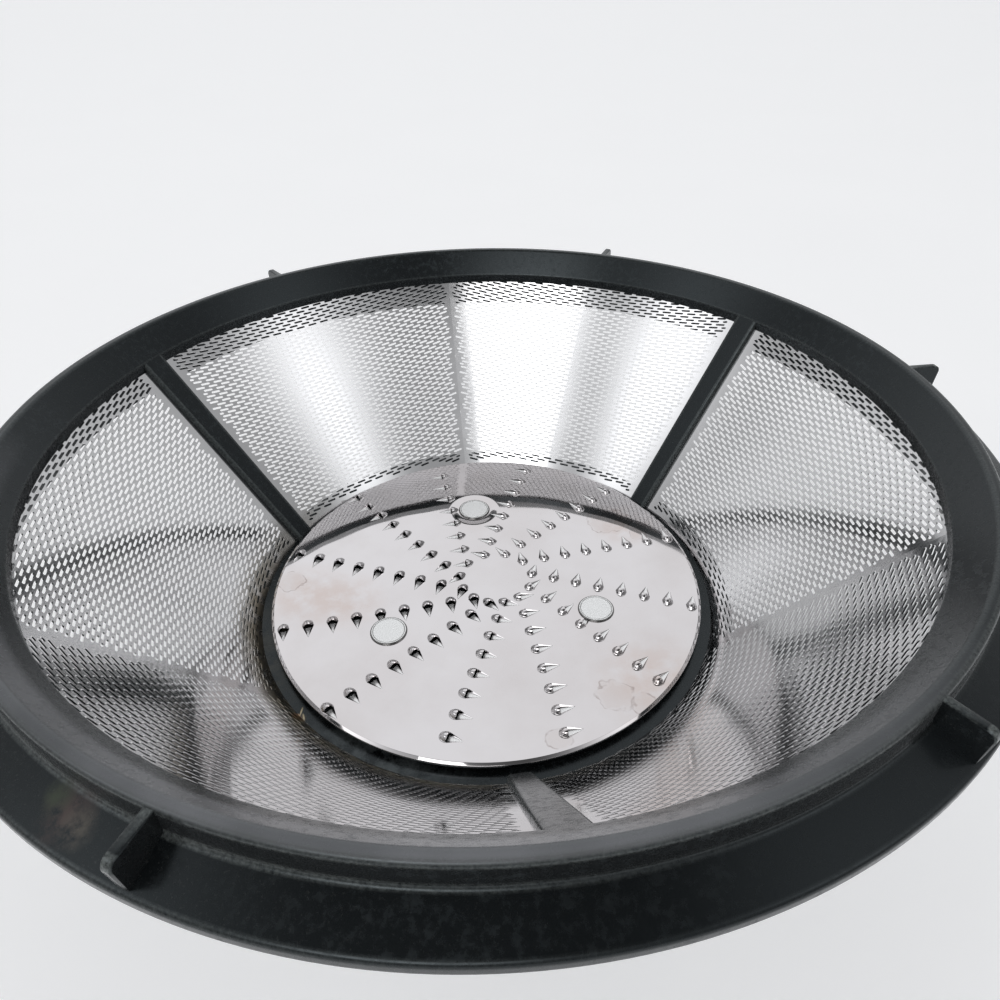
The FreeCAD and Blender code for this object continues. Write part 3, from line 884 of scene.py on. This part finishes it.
def disc_tree():
    """Tree that sets the teeth on the disc and fills the sheet between them."""
    tree, given, end = new_tree(
        "punched_disc", Tooth="Object", Tooth_outline="Object", Rows="Int", Per_row="Int",
        Row_angle="Float", Row_offset="Float", First="Float", Stagger="Float", Stagger_angle="Float",
        Pitch="Float", Pattern_x="Float", Pattern_y="Float", Reach="Float", Sheet_radius="Float",
        Height="Float", Finish="Material")
    sums = partial(reckon, tree)
    index = tree.nodes.new("GeometryNodeInputIndex").outputs[0]
    dots = step(tree, "GeometryNodeMeshLine", Count=sums("MULTIPLY", given["Rows"], given["Per_row"]),
                Offset=(0.0, 0.0, 0.0))
    row = sums("FLOOR", sums("DIVIDE", index, given["Per_row"]))
    number = sums("SUBTRACT", index, sums("MULTIPLY", row, given["Per_row"]))
    angle = sums("DIVIDE", sums("MULTIPLY", row, 2 * math.pi), given["Rows"])
    angle = sums("ADD", given["Row_angle"], angle)
    lag = sums("COSINE", sums("SUBTRACT", angle, given["Stagger_angle"]))
    lag = sums("MULTIPLY", given["Stagger"], lag)
    along = sums("ADD", sums("ADD", given["First"], lag), sums("MULTIPLY", number, given["Pitch"]))
    ahead, aside = sums("COSINE", angle), sums("SINE", angle)
    x = sums("ADD", given["Pattern_x"], sums("SUBTRACT", sums("MULTIPLY", along, ahead),
                                             sums("MULTIPLY", given["Row_offset"], aside)))
    y = sums("ADD", given["Pattern_y"], sums("ADD", sums("MULTIPLY", along, aside),
                                             sums("MULTIPLY", given["Row_offset"], ahead)))
    fits = sums("LESS_THAN", length_across(tree, x, y), given["Reach"])
    teeth = step(tree, "GeometryNodeSetPosition", Geometry=dots.outputs["Mesh"],
                 Position=step(tree, "ShaderNodeCombineXYZ", X=x, Y=y).outputs[0])
    turn = step(tree, "ShaderNodeCombineXYZ", Z=angle).outputs[0]

    def copies(source):
        shape = step(tree, "GeometryNodeObjectInfo", Object=given[source])
        many = step(tree, "GeometryNodeInstanceOnPoints", Points=teeth.outputs["Geometry"],
                    Instance=shape.outputs["Geometry"], Rotation=turn, Selection=fits)
        real = step(tree, "GeometryNodeRealizeInstances", Geometry=many.outputs["Instances"])
        return real.outputs["Geometry"]

    rim = step(tree, "GeometryNodeMeshCircle", Vertices=turn_steps, Radius=given["Sheet_radius"])
    cuts = step(tree, "GeometryNodeJoinGeometry")
    for edge in (rim.outputs["Mesh"], copies("Tooth_outline")):
        tree.links.new(edge, cuts.inputs[0])
    lines = step(tree, "GeometryNodeMeshToCurve", Mesh=cuts.outputs[0])
    face = step(tree, "GeometryNodeFillCurve", Curve=lines.outputs["Curve"])
    whole = step(tree, "GeometryNodeJoinGeometry")
    for part in (face.outputs["Mesh"], copies("Tooth")):
        tree.links.new(part, whole.inputs[0])
    welded = step(tree, "GeometryNodeMergeByDistance", Geometry=whole.outputs[0], Distance=tooth_weld)
    lifted = step(tree, "GeometryNodeSetPosition", Geometry=welded.outputs["Geometry"],
                  Offset=step(tree, "ShaderNodeCombineXYZ", Z=given["Height"]).outputs[0])
    finish_tree(tree, lifted.outputs["Geometry"], given["Finish"], end)
    return tree


def disc_steel_finish():
    """Polished sheet, a little wavy and dished round its rivets, with water marks and a brownish film. The
    teeth are painted darker round their hoods' feet and along their grooves' edges, a painted shade, and
    their groove floors are frosted paler.
    """
    finish, tree, shader, place = new_finish("disc_steel")
    sums = partial(reckon, tree)
    film = noise(tree, place, 45.0, 5.0, 0.6)
    wobble = noise(tree, place, 260.0, 4.0, 0.6)
    colour = blended(tree, ramp(tree, film, 0.40, 0.75), (0.715, 0.690, 0.697), (0.640, 0.605, 0.603))
    for x, y, reach in ((0.0290, -0.0270, 0.0125), (-0.0360, -0.0030, 0.0100), (-0.0275, -0.0050, 0.0085),
                        (0.0300, 0.0160, 0.0080)):
        wash = ramp(tree, nearest(tree, place, [(x, y, disc_top)]), 0.2 * reach, reach, 0.65, 0.0)
        wash = sums("MULTIPLY", wash, ramp(tree, wobble, 0.3, 0.6))
        colour = blended(tree, wash, colour, (0.60, 0.50, 0.46))
    ragged = noise(tree, place, 190.0, 3.0, 0.6)
    marks = None
    for x, y, radius in ((0.0214, -0.0299, 0.0032), (0.0262, -0.0318, 0.0021), (0.0278, 0.0170, 0.0042),
                         (0.0330, 0.0128, 0.0019), (-0.0395, 0.0009, 0.0026), (0.0111, -0.0380, 0.0019)):
        stray = sums("MULTIPLY", sums("SUBTRACT", ragged, 0.5), 1.8 * radius)
        away = sums("ADD", nearest(tree, place, [(x, y, disc_top)]), stray)
        colour = blended(tree, ramp(tree, away, 0.8 * radius, radius, 0.16, 0.0), colour, (0.50, 0.41, 0.37))
        past = sums("ABSOLUTE", sums("SUBTRACT", away, radius))
        line = ramp(tree, past, 0.0, 0.00024, 1.0, 0.0)
        marks = line if marks is None else sums("MAXIMUM", marks, line)
    broken = ramp(tree, noise(tree, place, 420.0, 2.0, 0.5), 0.42, 0.60, 0.05, 0.60)
    colour = blended(tree, sums("MULTIPLY", marks, broken), colour, (0.30, 0.24, 0.22))
    shade_and_frost = step(tree, "ShaderNodeAttribute", {"attribute_name": "shade_and_frost"}).outputs["Fac"]
    colour = blended(tree, ramp(tree, shade_and_frost, -0.2, -0.9), colour, (0.93, 0.925, 0.92))
    # Painted shade round the hoods' feet and along the grooves' edges.
    colour = blended(tree, ramp(tree, shade_and_frost, 0.05, 1.0, 0.0, 0.9), colour, (0.06, 0.054, 0.05))
    dulled = ramp(tree, sums("ABSOLUTE", shade_and_frost), 0.05, 0.4, 0.0, 0.22)
    roughness = sums("ADD", ramp(tree, film, 0.3, 0.75, 0.015, 0.05), dulled)
    angles = [rivet_angle + turn * 2 * math.pi / rivet_count for turn in range(rivet_count)]
    spots = [(rivet_circle * math.cos(angle), rivet_circle * math.sin(angle), disc_top) for angle in angles]
    dished = ramp(tree, nearest(tree, place, spots), 0.0034, 0.0058)
    dished.node.interpolation_type = "SMOOTHSTEP"
    wave = noise(tree, place, 55.0, 2.0, 0.5)
    relief = sums("ADD", sums("MULTIPLY", wave, 0.4), dished)
    feed_all(tree, shader, Base_Color=colour, Roughness=roughness, Normal=bumped(tree, relief, 0.00014),
             Metallic=ramp(tree, shade_and_frost, -0.9, -0.1, 0.60, 1.0))
    return finish


disc_steel = disc_steel_finish()
tooth_shape, tooth_outline = tooth_shapes()
disc_sheet = grown(
    "grating_disc_sheet", disc_tree(), Tooth=tooth_shape, Tooth_outline=tooth_outline, Rows=tooth_rows,
    Per_row=teeth_per_row, Row_angle=tooth_row_angle, Row_offset=tooth_row_offset, First=tooth_first,
    Stagger=tooth_stagger, Stagger_angle=tooth_stagger_angle, Pitch=tooth_pitch, Pattern_x=pattern_x,
    Pattern_y=pattern_y, Reach=tooth_reach, Sheet_radius=disc_radius - disc_edge_width, Height=disc_top,
    Finish=disc_steel)
disc_gauge = disc_sheet.modifiers.new("gauge", "SOLIDIFY")
disc_gauge.thickness = disc_wall
disc_gauge.offset = -1.0
settled(disc_sheet, disc_crease)
for face in disc_sheet.data.polygons:
    face.use_smooth = abs(face.normal.z) < level_normal
for shape in (tooth_shape, tooth_outline):
    bpy.data.objects.remove(shape)
disc_edge = turned("grating_disc_edge", rounded([
    (disc_radius - disc_edge_width, disc_underside, 0.0, 0.0),
    (disc_radius - disc_edge_width, disc_top, 0.0, 0.0),
    (disc_radius - disc_bevel, disc_top, 0.00008, 0.0),
    (disc_radius, disc_top - disc_bevel * math.tan(disc_bevel_tilt), 0.00008, 0.0),
    (disc_radius, disc_underside, 0.00010, 0.0),
], steps=4, mark_fade_run=0.00003))
disc_edge.data.materials.append(disc_steel)
for piece in (disc_sheet, disc_edge):
    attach(piece, "root")
    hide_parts("grating_disc")

# RIVETS
# Three rivets of pale metal hold the disc down on the base. Each has a broad, flat, frosted head with a
# turned groove near its edge, and a tail that is spread in a pocket under the base.

rivet_low, rivet_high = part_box("disc_rivets")
rivet_head_radius = 0.0035
rivet_shank_radius = 0.0020
rivet_tail_radius = 0.0030
rivet_tail = 0.0008
groove_radius = 0.00297
groove_half = 0.00007
groove_depth = 0.00012


def rivet_shape():
    """One rivet on the +X side."""
    head, foot = rivet_high.z, rivet_low.z
    section = rounded([
        (0.0, foot, 0.0, 0.0),
        (rivet_tail_radius, foot, 0.0002, 0.0),
        (rivet_tail_radius, foot + rivet_tail, 0.0, 0.0),
        (rivet_shank_radius, foot + rivet_tail, 0.0, 0.0),
        (rivet_shank_radius, disc_top, 0.0, 0.0),
        (rivet_head_radius, disc_top, 0.0, 1.0),
        (rivet_head_radius, head, 0.00028, 1.0),
        (groove_radius + groove_half, head, 0.00003, 1.0),
        (groove_radius, head - groove_depth, 0.00003, 1.0),
        (groove_radius - groove_half, head, 0.00003, 0.0),
        (0.0, head, 0.0, 0.0),
    ], steps=5, mark_fade_run=0.00001)
    piece = turned("rivet_shape", section)
    piece.data.transform(Matrix.Translation((rivet_circle, 0.0, 0.0)))
    return piece


def rivet_metal_finish():
    """Pale frosted metal with a fine blasted grain; the turned bead and groove round each head are polished
    and painted dark, a painted shade.
    """
    finish, tree, shader, place = new_finish("rivet_metal")
    painted_dark_bead = step(tree, "ShaderNodeAttribute", {"attribute_name": "wear_and_painted_light"}).outputs["Fac"]
    grain = noise(tree, place, 1900.0, 3.0, 0.7)
    film = noise(tree, place, 300.0, 4.0, 0.6)
    frosted = blended(tree, film, (0.92, 0.925, 0.92), (0.98, 0.98, 0.975))
    frosting = ramp(tree, painted_dark_bead, 0.0, 1.0, 0.22, 0.05)
    # The bead and groove are painted dark: painted shade on the polished ring.
    feed_all(tree, shader, Base_Color=blended(tree, painted_dark_bead, frosted, (0.23, 0.225, 0.22)),
             Metallic=ramp(tree, painted_dark_bead, 0.0, 1.0, 0.6, 1.0), Roughness=ramp(tree, painted_dark_bead, 0.0, 1.0, 0.42, 0.14),
             Normal=bumped(tree, grain, 0.00003, frosting))
    return finish


disc_rivets = ring_of("disc_rivet_heads", rivet_shape(), rivet_count, rivet_angle, rivet_metal_finish())
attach(disc_rivets, "root")
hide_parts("disc_rivets")

# STAGE
# A plain pale floor under the foot ring, a soft light in front, a pale room with a bright wall behind, and
# a camera that looks down into the bowl from the front.


def pale_floor():
    """Wide floor with a faint cloudiness."""
    half = 4.0
    corners = [(-half, -half, 0.0), (half, -half, 0.0), (half, half, 0.0), (-half, half, 0.0)]
    floor = mesh_object("pale_floor", corners, [], [(0, 1, 2, 3)])
    finish, tree, shader, place = new_finish(
        "pale_floor", Roughness=0.6, Emission_Color=(0.97, 0.98, 1.0, 1.0), Emission_Strength=0.30)
    cloud = noise(tree, place, 14.0, 3.0, 0.5)
    feed_all(tree, shader, Base_Color=blended(tree, cloud, (0.79, 0.785, 0.785), (0.83, 0.825, 0.825)))
    floor.data.materials.append(finish)
    return floor


pale_floor()


def soft_light(name, azimuth, elevation, distance, width, height, power):
    """Area light that looks at the disc from a direction in degrees."""
    azimuth, elevation = math.radians(azimuth), math.radians(elevation)
    level = Vector((math.cos(azimuth), math.sin(azimuth), 0.0))
    ray = level * math.cos(elevation) + Vector((0.0, 0.0, math.sin(elevation)))
    lamp = bpy.data.lights.new(name, "AREA")
    lamp.shape = "RECTANGLE"
    lamp.size, lamp.size_y = width, height
    lamp.energy = power
    light = placed(name, lamp)
    aim = ray.to_track_quat("Z", "Y").to_matrix().to_4x4()
    light.matrix_world = Matrix.Translation(ray * distance) @ aim


soft_light("front_light", azimuth=-108.0, elevation=48.0, distance=1.6, width=0.75, height=0.75, power=3.0)


def soft_sky():
    """Pale room light: a bright wall behind the basket, dimmer sides, windows in front and shade overhead.

    Past the floor's edge the room itself is a plain pale backdrop.
    """
    sky = bpy.data.worlds.new("soft_sky")
    sky.use_nodes = True
    tree = sky.node_tree
    sums = partial(reckon, tree)
    ray = tree.nodes.new("ShaderNodeTexCoord").outputs["Generated"]

    def facing(aim):
        along = measured(tree, "DOT_PRODUCT", ray, Vector(aim).normalized())
        return sums("MAXIMUM", along, 0.0)

    def soft(value, low, high, at_low, at_high):
        result = ramp(tree, value, low, high, at_low, at_high)
        result.node.interpolation_type = "SMOOTHSTEP"
        return result

    behind = step(tree, "ShaderNodeSeparateXYZ", Vector=ray).outputs["Y"]
    total = soft(behind, 0.05, 0.60, 0.38, 0.55)
    total = sums("ADD", total, soft(facing((0.0, 0.66, 0.75)), 0.70, 0.93, 0.0, 0.42))
    for aim, tightness, strength in (((-0.24, -0.64, 0.73), 40.0, 2.4), ((-0.73, -0.18, 0.66), 40.0, 1.6),
                                     ((0.69, -0.28, 0.66), 40.0, 1.2), ((-0.60, 0.75, 0.25), 6.0, 0.12)):
        glow = sums("POWER", facing(aim), tightness)
        total = sums("ADD", total, sums("MULTIPLY", glow, strength))
    total = sums("MULTIPLY", total, soft(facing((0.0, -0.2, 0.98)), 0.86, 0.96, 1.0, 0.2))
    seen = tree.nodes.new("ShaderNodeLightPath").outputs["Is Camera Ray"]
    total = ramp(tree, seen, 0.0, 1.0, total, 0.87)
    back = tree.nodes["Background"]
    back.inputs["Color"].default_value = (0.965, 0.980, 1.0, 1.0)
    tree.links.new(total, back.inputs["Strength"])
    return sky


bpy.context.scene.world = soft_sky()

camera_distance = 0.150354              # from the middle of the disc's face
camera_elevation = math.radians(43.306)
camera_pan, camera_tilt, camera_roll = 0.0216, -0.1060, 0.0321
photo_width = 1000.0
focal_pixels = 736.085
lens = bpy.data.cameras.new("camera")
lens.sensor_width = 36.0
lens.lens = lens.sensor_width * focal_pixels / photo_width
lens.clip_start = 0.005
camera = placed("camera", lens)
seat = Vector((0.0, -math.cos(camera_elevation), math.sin(camera_elevation))) * camera_distance
aim = (Matrix.Rotation(math.pi / 2 - camera_elevation, 4, "X") @ Matrix.Rotation(-camera_pan, 4, "Y")
       @ Matrix.Rotation(-camera_tilt, 4, "X") @ Matrix.Rotation(-camera_roll, 4, "Z"))
camera.matrix_world = Matrix.Translation(seat + Vector((0.0, 0.0, disc_top))) @ aim
bpy.context.scene.camera = camera
bpy.context.scene.view_settings.view_transform = "Standard"
